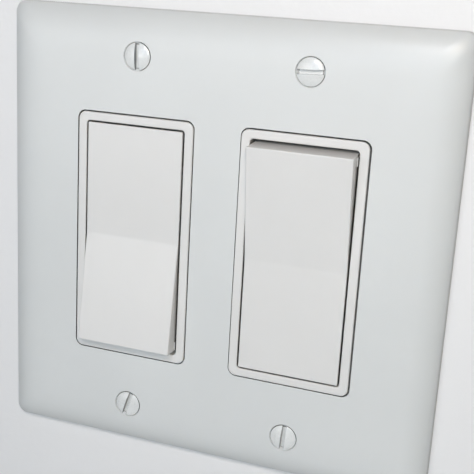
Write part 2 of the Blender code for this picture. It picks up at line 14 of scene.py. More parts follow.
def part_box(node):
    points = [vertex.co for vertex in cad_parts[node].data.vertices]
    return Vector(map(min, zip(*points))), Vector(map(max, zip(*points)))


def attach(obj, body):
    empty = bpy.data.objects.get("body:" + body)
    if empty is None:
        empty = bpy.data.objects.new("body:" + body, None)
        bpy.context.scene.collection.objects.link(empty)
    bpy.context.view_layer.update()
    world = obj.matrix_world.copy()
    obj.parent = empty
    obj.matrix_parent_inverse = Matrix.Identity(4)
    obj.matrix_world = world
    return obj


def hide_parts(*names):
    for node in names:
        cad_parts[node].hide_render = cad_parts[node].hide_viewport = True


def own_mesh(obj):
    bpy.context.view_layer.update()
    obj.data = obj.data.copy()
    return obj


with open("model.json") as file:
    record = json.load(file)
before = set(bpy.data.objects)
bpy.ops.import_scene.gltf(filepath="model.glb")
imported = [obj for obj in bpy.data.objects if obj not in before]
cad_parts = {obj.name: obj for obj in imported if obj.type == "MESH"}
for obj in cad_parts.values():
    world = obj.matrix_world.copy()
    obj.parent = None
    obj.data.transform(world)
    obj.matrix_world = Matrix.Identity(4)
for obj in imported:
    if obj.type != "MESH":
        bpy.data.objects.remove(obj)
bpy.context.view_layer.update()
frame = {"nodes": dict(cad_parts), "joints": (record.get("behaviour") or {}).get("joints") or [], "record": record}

MM = 0.001
JOINTS = {joint["name"]: joint for joint in frame["joints"]}
SIDES = ("left", "right")
ENDS = ("top", "bottom")
CORNERS = [(sx, sz) for sx in (-1, 1) for sz in (-1, 1)]

# Wall plate
PLATE_WALL = 2.1
PLATE_LIP = 0.9
PLATE_BORDER = 11.0
PLATE_CORNER = 3.0
PLATE_EDGE = 0.28
RIB_HALF_WIDTH = 0.9
RIB_HALF_HEIGHT = 45.0
RIB_FRONT = -4.4
OPENING_HALF_WIDTH = 16.75
OPENING_GAP = 0.36
OPENING_CORNER = 2.3
SINK_RADIUS = 3.85
SINK_HOLE = 2.1

# Plate screw, about the middle of its head in the plane of the plate's face
HEAD_RADIUS = 3.55
HEAD_RIM = -0.2
SHANK_RADIUS = 1.72
SLOT_HALF_WIDTH = 0.57
SLOT_FLOOR = -0.78

# Front frame
FRAME_HALF_WIDTH = 16.4
FRAME_SIDE_BORDER = 2.4
FRAME_END_BORDER = 2.3
FRAME_BACK = -1.6
FRAME_EDGE = 0.4
FRAME_CORNER = 2.0
WINDOW_CORNER = 0.9
HOOK_INSIDE = 14.45
HOOK_OUTSIDE = 15.75
BARB_OUTSIDE = 16.6
HOOK_Z = 20.0
HOOK_FRONT = -2.6
BEARING_HALF_HEIGHT = 3.8
BEARING_BACK = 1.8

# Rocker, about its pivot
ROCKER_HALF_WIDTH = 13.6
ROCKER_PROUD = 0.1
ROCKER_END_GAP = 0.35
ROCKER_WALL = 1.6
ROCKER_EDGE = 0.34
SKIRT_BACK = 1.3
CREASE_HALF_HEIGHT = 1.1
CREASE_ROUND = 0.3
EAR_RADIUS = 2.6
PIN_RADIUS = 1.2
PIN_END = 15.7
FOOT_INSIDE = 12.6
FOOT_OUTSIDE = 13.85
FOOT_Z = 28.4
POST_RADIUS = 3.9
POST_BORE = 2.75
POST_END = -9.0

# Plunger and spring
PLUNGER_REACH = 14.2
PLUNGER_SHOULDER = 10.2
BORE_END = 2.01
SPRING_WIRE = 0.3
SPRING_RADIUS = 2.0
SPRING_TURNS = 7

# Strap: the slots that the frame's hooks and bearings reach through, its holes and its ground tab
SLOT_INSIDE = 13.9
HOOK_SLOT_OUTSIDE = 16.0
HOOK_SLOT_HALF = 2.2
BEARING_SLOT_OUTSIDE = 16.7
BEARING_SLOT_HALF = 4.1
RIVET_HOLE = 1.45
PLATE_SCREW_HOLE = 2.1
GROUND_HOLE = 2.2
SCORE_X = 7.6
SCORE_Z = 3.1

# Housing
HOUSING_HALF_HEIGHT = 33.0
HOUSING_WALL = 2.2
HOUSING_FLOOR = 1.8
HOUSING_CORNER = 2.0
PARTING_LINE = 12.25
WIRE_Z = 17.5
WIRE_HOLE_X = 10.7
PANEL_DEPTH = 0.4
OUTSIDE = 18.0

# Stage
WALL_REACH = 900.0
WALL_LEVEL = 0.02
WALL_OVERLAP = 0.3
FLOOR_DROP = 250.0
FLOOR_REACH = 3000.0

# Screw threads
PITCH_6_32 = 0.794
THREAD_DEPTH = 0.32

# Directions a turned piece's own +Z, its head, can point
TO_FRONT = Euler((math.radians(90), 0, 0)).to_matrix().to_4x4()
TO_BACK = Euler((math.radians(-90), 0, 0)).to_matrix().to_4x4()
TO_RIGHT = Euler((0, math.radians(90), 0)).to_matrix().to_4x4()

# Extrusion planes: columns carry the outline's first and second coordinate and its thickness
PLANES = {
    "XZ": Matrix(((1, 0, 0), (0, 0, -1), (0, 1, 0))).to_4x4(),
    "YZ": Matrix(((0, 0, 1), (1, 0, 0), (0, 1, 0))).to_4x4(),
}


# ---------------------------------------------------------------- measuring the frame


def box_mm(node):
    low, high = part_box(node)
    return low / MM, high / MM


def middle(node):
    low, high = box_mm(node)
    return (low + high) / 2


def pivot_mm(joint):
    return Vector(JOINTS[joint]["pos_m"]) / MM


def rest_tilt(joint):
    """How far a rocker leans about +X at rest: half its swing, away from its travel."""
    swing = math.radians(max(JOINTS[joint]["range_deg"], key=abs))
    return -swing / 2 * JOINTS[joint]["axis"][0]


def leaning(side):
    """From a rocker's own frame, about its pivot, to the wall plate's frame at rest."""
    joint = side + "_rocker_tilt"
    return Matrix.Translation(pivot_mm(joint) * MM) @ Matrix.Rotation(rest_tilt(joint), 4, "X")


def mirrored(side, inner, outer):
    """Two distances from the middle as a rising range, on the right (1) or on the left (-1)."""
    return sorted((side * inner, side * outer))


# ---------------------------------------------------------------- node trees


def add(tree, kind, inputs=None, **settings):
    """A shader node with its settings, and values or links for its inputs."""
    made = tree.nodes.new("ShaderNode" + kind)
    for key, value in settings.items():
        setattr(made, key, value)
    for key, value in (inputs or {}).items():
        if isinstance(value, bpy.types.NodeSocket):
            tree.links.new(value, made.inputs[key])
        else:
            made.inputs[key].default_value = value
    return made


def value_range(tree, source, low, high, to_low=0.0, to_high=1.0):
    made = add(tree, "MapRange", {"Value": source, "From Min": low, "From Max": high,
                                  "To Min": to_low, "To Max": to_high})
    return made.outputs["Result"]


def math_node(tree, operation, first, second):
    made = add(tree, "Math", {0: first, 1: second}, operation=operation)
    return made.outputs[0]


def mixed(tree, factor, first, second):
    made = add(tree, "Mix", {"Factor": factor, 6: first, 7: second}, data_type="RGBA")
    return made.outputs[2]


def noise(tree, where, scale, detail=3.0, rough=0.5, stretch=None):
    """Noise over the object's own space, in features per metre."""
    if stretch:
        where = add(tree, "Mapping", {"Vector": where, "Scale": stretch}).outputs[0]
    made = add(tree, "TexNoise", {"Vector": where, "Scale": scale, "Detail": detail,
                                  "Roughness": rough})
    return made.outputs["Fac"]


def edge_mask(tree, radius, low=0.02, high=0.25):
    """1 along edges, 0 on open faces, from how far a bevelled normal turns from the true one."""
    bevel = add(tree, "Bevel", {"Radius": radius * MM}, samples=4)
    geometry = add(tree, "NewGeometry")
    dot = add(tree, "VectorMath", {0: bevel.outputs[0], 1: geometry.outputs["True Normal"]},
              operation="DOT_PRODUCT")
    turned = math_node(tree, "SUBTRACT", 1.0, dot.outputs["Value"])
    return value_range(tree, turned, low, high)


def crevice_mask(tree, distance, start=0.55, end=0.1):
    """1 deep in gaps and corners, 0 in the open."""
    shade = add(tree, "AmbientOcclusion", {"Distance": distance * MM}, samples=6)
    return value_range(tree, shade.outputs["AO"], start, end)


def depth_part(tree, vector):
    """The Y part of a vector: how far into the wall it lies or points."""
    return add(tree, "SeparateXYZ", {0: vector}).outputs[1]


def slant_mask(tree, kind, flat, steep, amount=1.0):
    """Grows from 0 on faces that lie along the wall to amount on faces that stand out from it."""
    facing = depth_part(tree, add(tree, "NewGeometry").outputs[kind])
    return value_range(tree, math_node(tree, "ABSOLUTE", facing, 0.0), flat, steep, 0.0, amount)


def rim_shade_mask(tree, where, amount):
    """Painted shade towards the plate's rim: soft over its border, most at the lower left, then a line along the
    wall.
    """
    level = depth_part(tree, where)
    normal = add(tree, "NewGeometry").outputs["Normal"]
    lean = add(tree, "VectorMath", {0: normal, 1: (-0.4, 0.0, -0.6)}, operation="DOT_PRODUCT")
    border = math_node(tree, "MULTIPLY", value_range(tree, level, -5.2 * MM, -1.4 * MM, 0.0, amount),
                       math_node(tree, "ADD", lean.outputs["Value"], 1.0))
    line = value_range(tree, level, -2.0 * MM, -0.9 * MM, 0.0, 1.5 * amount)
    in_front = value_range(tree, depth_part(tree, normal), 0.05, 0.4, 1.0, 0.0)
    return math_node(tree, "MULTIPLY", math_node(tree, "ADD", border, line), in_front)


def shades(colour, amount):
    return tuple(max(0.0, min(1.0, c * (1 + amount))) for c in colour[:3]) + (1.0,)


def new_surface(name):
    made = bpy.data.materials.new(name)
    made.use_nodes = True
    tree = made.node_tree
    shader = tree.nodes["Principled BSDF"]
    where = add(tree, "TexCoord").outputs["Object"]
    return made, tree, shader, where


def bump(tree, height, strength, distance, base=None):
    inputs = {"Height": height, "Strength": strength, "Distance": distance * MM}
    if base:
        inputs["Normal"] = base
    return add(tree, "Bump", inputs).outputs["Normal"]


def plastic(name, colour, roughness, grain=0.5, dust_and_shade_share=0.25, grime_and_shade_colour=(0.20, 0.17, 0.14), specks=0.0,
            scatter=0.05, rim=0.0, shaded_sides=0.0):
    """Moulded plastic: faint mottling, orange peel, handled edges, dust with painted shade in the gaps, specks.
    Narrow gaps are painted black as shadow; the rim near the wall and the sides get painted shade."""
    made, tree, shader, where = new_surface(name)
    broad = noise(tree, where, 38, 3)
    fine = noise(tree, where, 420, 4)
    tint = mixed(tree, value_range(tree, broad, 0.3, 0.7), shades(colour, -0.02), shades(colour, 0.015))
    tint = mixed(tree, value_range(tree, fine, 0.3, 0.8, 0, 0.5), tint, shades(colour, -0.012))
    edges = edge_mask(tree, 0.35)
    worn = math_node(tree, "MULTIPLY", edges, value_range(tree, fine, 0.35, 0.65, 0.2, 0.75))
    tint = mixed(tree, worn, tint, shades(colour, 0.045))
    # Dust with painted shade: deep in gaps and corners the colour darkens towards the grime colour.
    gap_dust_and_shade = math_node(tree, "MULTIPLY", crevice_mask(tree, 0.9),
                     value_range(tree, noise(tree, where, 900, 3), 0.3, 0.6, 0.35, 1.0))
    tint = mixed(tree, math_node(tree, "MULTIPLY", gap_dust_and_shade, dust_and_shade_share), tint, (*grime_and_shade_colour, 1.0))
    # Painted shade: the plate's border greys towards the wall, most at the lower left.
    if rim:
        tint = mixed(tree, rim_shade_mask(tree, where, rim), tint, (0.22, 0.215, 0.205, 1.0))
    # Painted shade: faces that stand out from the wall are darkened towards the grime colour.
    if shaded_sides:
        tint = mixed(tree, slant_mask(tree, "Normal", 0.75, 0.25, shaded_sides), tint, (*grime_and_shade_colour, 1.0))
    # Painted shadow: narrow gaps are painted near black.
    tint = mixed(tree, crevice_mask(tree, 1.0, 0.42, 0.24), tint, (0.012, 0.010, 0.008, 1.0))
    if specks:
        cells = add(tree, "TexVoronoi", {"Vector": where, "Scale": 105.0})
        dots = value_range(tree, cells.outputs["Distance"], 0.035, 0.06, specks, 0.0)
        rare = value_range(tree, add(tree, "SeparateColor", {0: cells.outputs["Color"]}).outputs[0],
                           0.90, 0.93)
        tint = mixed(tree, math_node(tree, "MULTIPLY", dots, rare), tint, (0.16, 0.15, 0.15, 1.0))
    tree.links.new(tint, shader.inputs["Base Color"])
    rough = value_range(tree, noise(tree, where, 60, 2), 0.2, 0.8, roughness - 0.02, roughness + 0.03)
    rough = math_node(tree, "SUBTRACT", rough, math_node(tree, "MULTIPLY", edges, 0.08))
    tree.links.new(rough, shader.inputs["Roughness"])
    peel = bump(tree, noise(tree, where, 620, 2), 0.05 * grain, 0.12)
    normal = bump(tree, noise(tree, where, 5200, 2), 0.10 * grain, 0.012, peel)
    tree.links.new(normal, shader.inputs["Normal"])
    shader.inputs["Subsurface Weight"].default_value = scatter
    shader.inputs["Subsurface Radius"].default_value = (0.8, 0.7, 0.6)
    shader.inputs["Subsurface Scale"].default_value = 0.7 * MM
    shader.inputs["IOR"].default_value = 1.47
    return made


def enamel(name, colour, bare=(0.22, 0.22, 0.21)):
    """Paint over steel, rubbed through to metal along the edges. The sides of the driver slot and the head's steep
    edge are bare metal painted dark as shade.
    """
    made, tree, shader, where = new_surface(name)
    scratches = noise(tree, where, 1500, 4, 0.7, (1.0, 1.0, 0.12))
    chips = noise(tree, where, 1900, 3, 0.7)
    edges = edge_mask(tree, 0.22, 0.06, 0.35)
    rubbed = math_node(tree, "MULTIPLY", edges, value_range(tree, chips, 0.40, 0.50, 0.1, 0.9))
    body = value_range(tree, noise(tree, where, 260, 3), 0.3, 0.7)
    tint = mixed(tree, body, shades(colour, -0.05), shades(colour, 0.03))
    scored = value_range(tree, scratches, 0.60, 0.68, 0.0, 0.35)
    tint = mixed(tree, scored, tint, shades(colour, -0.22))
    tint = mixed(tree, rubbed, tint, (*bare, 1.0))
    # Bare metal with painted shade: the slot walls and the steep edge of the head go dark.
    shaded_sides = slant_mask(tree, "True Normal", 0.80, 0.40)
    tint = mixed(tree, shaded_sides, tint, (0.20, 0.20, 0.20, 1.0))
    tree.links.new(tint, shader.inputs["Base Color"])
    bared = math_node(tree, "MAXIMUM", rubbed, shaded_sides)
    tree.links.new(math_node(tree, "MULTIPLY", bared, 0.9), shader.inputs["Metallic"])
    tree.links.new(value_range(tree, chips, 0.3, 0.7, 0.22, 0.36), shader.inputs["Roughness"])
    shader.inputs["Coat Weight"].default_value = 0.7
    shader.inputs["Coat Roughness"].default_value = 0.09
    wavy = bump(tree, noise(tree, where, 700, 3), 0.16, 0.15)
    tree.links.new(bump(tree, scratches, 0.10, 0.03, wavy), shader.inputs["Normal"])
    return made


def metal(name, colour, roughness, along=(1.0, 1.0, 0.08), stain=(0.35, 0.30, 0.24), stain_share=0.35):
    """Rolled, drawn or plated metal: brushed one way, stained in patches, with a painted highlight on its edges
    and dust with painted shade in its crevices.
    """
    made, tree, shader, where = new_surface(name)
    lines = noise(tree, where, 2600, 3, 0.6, along)
    patches = noise(tree, where, 120, 5, 0.6)
    tint = mixed(tree, value_range(tree, lines, 0.3, 0.7), shades(colour, -0.12), shades(colour, 0.08))
    tint = mixed(tree, value_range(tree, patches, 0.52, 0.78, 0.0, stain_share), tint, (*stain, 1.0))
    edges = edge_mask(tree, 0.2, 0.05, 0.35)
    # Painted highlight: the edges are lightened.
    tint = mixed(tree, math_node(tree, "MULTIPLY", edges, 0.5), tint, shades(colour, 0.22))
    # Dust with painted shade: crevices darken towards the stain colour.
    gap_dust_and_shade = math_node(tree, "MULTIPLY", crevice_mask(tree, 1.2), 0.5)
    tint = mixed(tree, gap_dust_and_shade, tint, shades(stain, -0.5))
    tree.links.new(tint, shader.inputs["Base Color"])
    shader.inputs["Metallic"].default_value = 1.0
    rough = math_node(tree, "ADD", value_range(tree, lines, 0.3, 0.7, roughness - 0.08, roughness + 0.08),
                      value_range(tree, patches, 0.5, 0.8, 0.0, 0.15))
    tree.links.new(rough, shader.inputs["Roughness"])
    tree.links.new(bump(tree, lines, 0.12, 0.02), shader.inputs["Normal"])
    return made


def board(name, colour):
    """Pressed fibre board: short fibres in two directions, matt."""
    made, tree, shader, where = new_surface(name)
    warp = noise(tree, where, 3000, 4, 0.7, (1.0, 1.0, 0.2))
    weft = noise(tree, where, 3000, 4, 0.7, (0.2, 1.0, 1.0))
    fibres = math_node(tree, "MAXIMUM", warp, weft)
    tint = mixed(tree, value_range(tree, fibres, 0.4, 0.75), shades(colour, -0.25), shades(colour, 0.2))
    tree.links.new(tint, shader.inputs["Base Color"])
    tree.links.new(value_range(tree, fibres, 0.4, 0.75, 0.78, 0.92), shader.inputs["Roughness"])
    tree.links.new(bump(tree, fibres, 0.5, 0.06), shader.inputs["Normal"])
    return made


def painted_wall(name, colour):
    """Roller-stippled wall paint, with painted shade next to the plate. A camera behind it looks through it, so it
    sees the object's back.
    """
    made, tree, shader, where = new_surface(name)
    tint = mixed(tree, value_range(tree, noise(tree, where, 9, 3), 0.3, 0.7), shades(colour, -0.012),
                 shades(colour, 0.012))
    # Painted shade: the wall darkens in the narrow corner along the plate's rim.
    tint = mixed(tree, math_node(tree, "MULTIPLY", crevice_mask(tree, 0.45, 0.7, 0.4), 0.5), tint,
                 (0.22, 0.22, 0.23, 1.0))
    tree.links.new(tint, shader.inputs["Base Color"])
    shader.inputs["Roughness"].default_value = 0.62
    stipple = bump(tree, noise(tree, where, 330, 3, 0.55), 0.5, 0.25)
    tree.links.new(bump(tree, noise(tree, where, 1500, 2), 0.15, 0.05, stipple), shader.inputs["Normal"])
    behind = math_node(tree, "MULTIPLY", add(tree, "NewGeometry").outputs["Backfacing"],
                       add(tree, "LightPath").outputs["Is Camera Ray"])
    clear = add(tree, "BsdfTransparent")
    choice = add(tree, "MixShader", {0: behind, 1: shader.outputs[0], 2: clear.outputs[0]})
    tree.links.new(choice.outputs[0], tree.nodes["Material Output"].inputs["Surface"])
    return made


def plain_floor(name, colour):
    """Pale matt floor. To the camera it glows a little, so it stays pale far from the lights."""
    made, tree, shader, where = new_surface(name)
    tint = mixed(tree, noise(tree, where, 6, 3), shades(colour, -0.015), shades(colour, 0.015))
    tree.links.new(tint, shader.inputs["Base Color"])
    shader.inputs["Roughness"].default_value = 0.75
    tree.links.new(tint, shader.inputs["Emission Color"])
    seen = add(tree, "LightPath").outputs["Is Camera Ray"]
    tree.links.new(math_node(tree, "MULTIPLY", seen, 0.5), shader.inputs["Emission Strength"])
    return made


SURFACES = {
    "plate_plastic": plastic("plate_plastic", (0.735, 0.755, 0.758), 0.33, 1.0, 0.75, specks=0.8,
                             rim=0.32),
    "white_plastic": plastic("white_plastic", (0.788, 0.786, 0.780), 0.30, 0.6, 0.85,
                             grime_and_shade_colour=(0.24, 0.20, 0.16), shaded_sides=0.18),
    "painted_screw": enamel("painted_screw", (0.80, 0.82, 0.82)),
    "zinc_steel": metal("zinc_steel", (0.62, 0.63, 0.64), 0.34, stain=(0.42, 0.40, 0.34)),
    "grey_thermoplastic": plastic("grey_thermoplastic", (0.38, 0.39, 0.40), 0.46, 2.2, 0.7),
    "brass": metal("brass", (0.80, 0.60, 0.28), 0.28, stain=(0.42, 0.27, 0.12)),
    "silver": metal("silver", (0.88, 0.87, 0.84), 0.24, stain=(0.45, 0.42, 0.38)),
    "spring_steel": metal("spring_steel", (0.56, 0.57, 0.60), 0.28, stain=(0.30, 0.27, 0.24)),
    "green_screw": metal("green_screw", (0.05, 0.36, 0.13), 0.34, stain=(0.10, 0.22, 0.08)),
    "nylon": plastic("nylon", (0.80, 0.78, 0.72), 0.42, 0.8, 0.3, scatter=0.2),
    "fibre": board("fibre", (0.42, 0.36, 0.28)),
}


# ---------------------------------------------------------------- outlines


def arc(centre, radius, start, end, steps):
    """Points on an arc, angles in degrees."""
    points = []
    for i in range(steps + 1):
        angle = math.radians(start + (end - start) * i / steps)
        points.append((centre[0] + radius * math.cos(angle), centre[1] + radius * math.sin(angle)))
    return points


def circle(centre, radius, steps=48):
    return arc(centre, radius, 0, 360, steps)[:-1]


def rounded_rectangle(half_x, half_y, radius, centre=(0.0, 0.0), steps=12):
    """Counter-clockwise outline, starting at the lower right corner."""
    points = []
    for turn, (sx, sy) in enumerate(((1, -1), (1, 1), (-1, 1), (-1, -1))):
        corner = (centre[0] + sx * (half_x - radius), centre[1] + sy * (half_y - radius))
        points += arc(corner, radius, -90 + 90 * turn, 90 * turn, steps)
    return points


def filleted(points, radius, steps=5):
    """A polygon with each corner replaced by an arc-like curve of about this radius."""
    smooth = []
    count = len(points)
    for i, point in enumerate(points):
        here = Vector(point)
        before = Vector(points[i - 1]) - here
        after = Vector(points[(i + 1) % count]) - here
        reach = min(radius, before.length * 0.45, after.length * 0.45)
        first = here + before.normalized() * reach
        last = here + after.normalized() * reach
        for k in range(steps + 1):
            t = k / steps
            smooth.append(tuple(first * (1 - t) ** 2 + here * 2 * t * (1 - t) + last * t * t))
    return smooth


# ---------------------------------------------------------------- meshes


def new_object(name, mesh):
    obj = bpy.data.objects.new(name, mesh)
    bpy.context.scene.collection.objects.link(obj)
    return obj


def evaluated_mesh(obj):
    bpy.context.view_layer.update()
    graph = bpy.context.evaluated_depsgraph_get()
    return bpy.data.meshes.new_from_object(obj.evaluated_get(graph))


def cleaned(mesh):
    work = bmesh.new()
    work.from_mesh(mesh)
    bmesh.ops.remove_doubles(work, verts=work.verts, dist=0.0005 * MM)
    bmesh.ops.recalc_face_normals(work, faces=work.faces)
    work.to_mesh(mesh)
    work.free()
    return mesh


def prism(name, loops, low, high, plane="XZ"):
    """A solid from one outline and its holes, between two levels of the plane's normal axis."""
    curve = bpy.data.curves.new(name, "CURVE")
    curve.dimensions = "2D"
    curve.fill_mode = "BOTH"
    curve.extrude = (high - low) / 2 * MM
    for loop in loops:
        spline = curve.splines.new("POLY")
        spline.points.add(len(loop) - 1)
        for point, (x, y) in zip(spline.points, loop):
            point.co = (x * MM, y * MM, 0, 1)
        spline.use_cyclic_u = True
    guide = new_object(name + "_outline", curve)
    mesh = evaluated_mesh(guide)
    bpy.data.objects.remove(guide, do_unlink=True)
    bpy.data.curves.remove(curve)
    level = (low + high) / 2 * MM
    mesh.transform(PLANES[plane] @ Matrix.Translation((0, 0, -level if plane == "XZ" else level)))
    return new_object(name, cleaned(mesh))


def block(name, low, high):
    mesh = bpy.data.meshes.new(name)
    work = bmesh.new()
    bmesh.ops.create_cube(work, size=MM)
    bmesh.ops.scale(work, vec=[b - a for a, b in zip(low, high)], verts=work.verts)
    bmesh.ops.translate(work, vec=[(a + b) / 2 * MM for a, b in zip(low, high)], verts=work.verts)
    work.to_mesh(mesh)
    work.free()
    return new_object(name, mesh)


def bar(name, radius, low, high, axis="X", at=(0, 0, 0), steps=32):
    """A round bar along X or Y between two levels."""
    mesh = bpy.data.meshes.new(name)
    work = bmesh.new()
    turn = Matrix.Rotation(math.radians(90), 4, "Y" if axis == "X" else "X")
    level = (low + high) / 2
    place = Matrix.Translation(Vector((level, 0, 0) if axis == "X" else (0, level, 0)) * MM)
    shift = Matrix.Translation(Vector(at) * MM)
    bmesh.ops.create_cone(work, cap_ends=True, segments=steps, radius1=radius * MM,
                          radius2=radius * MM, depth=(high - low) * MM, matrix=shift @ place @ turn)
    work.to_mesh(mesh)
    work.free()
    return new_object(name, mesh)


def loft(name, rings, cap_first=False, cap_last=False, closed=False):
    """Joins rings of equal length with quads; closed joins the last ring to the first."""
    work = bmesh.new()
    rows = [[work.verts.new(Vector(p) * MM) for p in ring] for ring in rings]
    pairs = list(zip(rows, rows[1:])) + ([(rows[-1], rows[0])] if closed else [])
    for first, second in pairs:
        count = len(first)
        for i in range(count):
            j = (i + 1) % count
            work.faces.new((first[i], first[j], second[j], second[i]))
    if cap_first:
        work.faces.new(rows[0][::-1])
    if cap_last:
        work.faces.new(rows[-1])
    bmesh.ops.recalc_face_normals(work, faces=work.faces)
    mesh = bpy.data.meshes.new(name)
    work.to_mesh(mesh)
    work.free()
    return new_object(name, mesh)


def turned(name, profile, place, steps=48, thread=None):
    """A turned solid: profile of (radius, height) from the crown down to the tail, and an optional
    thread (from height, to height, pitch, depth) cut into the part of the profile it covers."""
    rings = []
    for radius, height in profile:
        ring = []
        for i in range(steps):
            angle = 2 * math.pi * i / steps
            r = radius
            if thread and thread[1] <= height <= thread[0]:
                fade = min(1.0, (thread[0] - height) / thread[2], (height - thread[1]) / thread[2])
                wave = abs(((height / thread[2] + i / steps) % 1.0) * 2 - 1)
                r -= thread[3] * max(0.0, fade) * min(1.0, wave * 1.25)
            ring.append((r * math.cos(angle), r * math.sin(angle), height))
        rings.append(ring)
    made = loft(name, rings, cap_first=True, cap_last=True)
    made.data.transform(place)
    return made


def threaded(profile, start, end, radius, pitch=PITCH_6_32):
    """Adds closely spaced rows to a profile between two heights, for a thread to be cut into."""
    count = int((start - end) / pitch * 7)
    rows = [(radius, start + (end - start) * i / count) for i in range(count + 1)]
    above = [p for p in profile if p[1] > start]
    below = [p for p in profile if p[1] < end]
    return above + rows + below


def combine(target, tool, operation):
    """Cuts or joins straight away, and throws the tool away."""
    step = target.modifiers.new("combine", "BOOLEAN")
    step.operation = operation
    step.object = tool
    step.solver = "EXACT"
    mesh = evaluated_mesh(target)
    target.modifiers.clear()
    target.data = mesh
    bpy.data.objects.remove(tool, do_unlink=True)


def cut(target, tool):
    combine(target, tool, "DIFFERENCE")


def join(target, tool):
    combine(target, tool, "UNION")


def soften(obj, width, segments=3, angle=40):
    """Rounds the sharp edges of a solid."""
    bevel = obj.modifiers.new("soften", "BEVEL")
    bevel.width = width * MM
    bevel.segments = segments
    bevel.limit_method = "ANGLE"
    bevel.angle_limit = math.radians(angle)
    bevel.miter_outer = "MITER_ARC"
    bevel.use_clamp_overlap = True
    mesh = evaluated_mesh(obj)
    obj.modifiers.clear()
    obj.data = cleaned(mesh)


def shade(obj, angle=35):
    """Smooth shading up to an angle, with normals that keep broad faces flat."""
    obj.data.shade_smooth()
    obj.data.set_sharp_from_angle(angle=math.radians(angle))
    normals = obj.modifiers.new("normals", "WEIGHTED_NORMAL")
    normals.keep_sharp = True


def finished(obj, slot, body, *nodes, angle=35):
    """Gives a piece its surface, its body and the CAD nodes that it stands for."""
    obj.data.materials.clear()
    obj.data.materials.append(SURFACES[slot])
    shade(obj, angle)
    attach(obj, body)
    if nodes:
        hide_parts(*nodes)
    return obj


# ---------------------------------------------------------------- wall plate


def plate_rings(half_x, half_z, inset, depth, steps):
    """Rings up the plate's skin, from the wall over its lip and border to its flat face."""
    rings = []
    levels = [(0.0, 0.0), (0.0, PLATE_LIP * 0.5)]
    for i in range(steps + 1):
        angle = math.pi / 2 * i / steps
        levels.append((PLATE_BORDER * (1 - math.cos(angle)),
                       PLATE_LIP + (depth - PLATE_LIP) * math.sin(angle)))
    for across, height in levels:
        outline = rounded_rectangle(half_x - inset - across, half_z - inset - across, PLATE_CORNER)
        rings.append([(x, -height, z) for x, z in outline])
    return rings


def make_plate():
    low, high = box_mm("wall_plate")
    half_x = (high.x - low.x) / 2
    half_z = (high.z - low.z) / 2
    depth = -low.y
    outside = plate_rings(half_x, half_z, 0, depth, 26)
    inside = plate_rings(half_x, half_z, PLATE_WALL, depth - PLATE_WALL, 10)
    plate = loft("wall_plate_shell", inside[::-1] + outside, cap_first=True, cap_last=True)
    gang = middle("left_plate_screw_top").x
    screw_z = middle("left_plate_screw_top").z
    frame_low, frame_high = box_mm("left_front_frame")
    half_opening = (frame_high.z - frame_low.z) / 2 + OPENING_GAP
    for x in (gang, -gang):
        outline = rounded_rectangle(OPENING_HALF_WIDTH, half_opening, OPENING_CORNER, (x, 0))
        cut(plate, prism("opening", [outline], -9, 2))
        for z in (screw_z, -screw_z):
            place = Matrix.Translation(Vector((x, -depth, z)) * MM) @ TO_FRONT
            sink = [(SINK_RADIUS, 2), (SINK_RADIUS, -0.12), (SINK_RADIUS - 0.12, -0.3),
                    (SINK_HOLE, -1.75), (SINK_HOLE, -6)]
            cut(plate, turned("sink", sink, place, 64))
    join(plate, block("centre_rib", (-RIB_HALF_WIDTH, RIB_FRONT, -RIB_HALF_HEIGHT),
                      (RIB_HALF_WIDTH, 0.0, RIB_HALF_HEIGHT)))
    soften(plate, PLATE_EDGE, 3, 38)
    finished(plate, "plate_plastic", "root", "wall_plate", angle=30)


def make_plate_screw(name):
    """Oval-head slotted screw; its slot lies as in the CAD node, found from the node's own faces."""
    centre = middle(name)
    low, high = box_mm(name)
    plate_low, _ = box_mm("wall_plate")
    crown = plate_low.y - low.y
    head = [(HEAD_RADIUS * part, HEAD_RIM + (crown - HEAD_RIM) * (1 - part * part) ** 0.8)
            for part in (0.05, 0.2, 0.35, 0.5, 0.63, 0.75, 0.86, 0.94, 0.985)]
    head += [(HEAD_RADIUS, HEAD_RIM), (3.5, -0.32), (SHANK_RADIUS, -2.05)]
    tail = plate_low.y - high.y
    profile = threaded(head + [(1.1, tail), (0.5, tail)], -2.3, tail + 0.7, SHANK_RADIUS)
    place = Matrix.Translation(Vector((centre.x, plate_low.y, centre.z)) * MM) @ TO_FRONT
    screw = turned(name + "_fine", profile, place, 56, (-2.6, tail + 0.4, PITCH_6_32, THREAD_DEPTH))
    slot = block("slot", (-SLOT_HALF_WIDTH, -6, SLOT_FLOOR), (SLOT_HALF_WIDTH, 6, 3))
    slot.data.transform(place @ Matrix.Rotation(slot_angle(name), 4, "Z"))
    cut(screw, slot)
    soften(screw, 0.07, 2, 50)
    finished(screw, "painted_screw", "root", name, angle=32)


def slot_angle(node):
    """Direction of a slot, from the CAD node's two flat slot walls: they carry its only broad faces
    whose normals lie across the screw's axis and near its head."""
    low, _ = box_mm(node)
    total = Vector((0.0, 0.0))
    for face in frame["nodes"][node].data.polygons:
        if abs(face.normal.y) < 0.02 and face.center.y / MM < low.y + 1.4 and face.area > 0.4 * MM * MM:
            angle = 2 * math.atan2(face.normal.z, face.normal.x)
            total += Vector((math.cos(angle), math.sin(angle))) * face.area
    return math.atan2(total.y, total.x) / 2


# ---------------------------------------------------------------- front frame and rocker


def frame_ring(half_x, half_z, radius, y, centre_x):
    outline = rounded_rectangle(half_x, half_z, radius, (centre_x, 0), 10)
    return [(x, y, z) for x, z in outline]


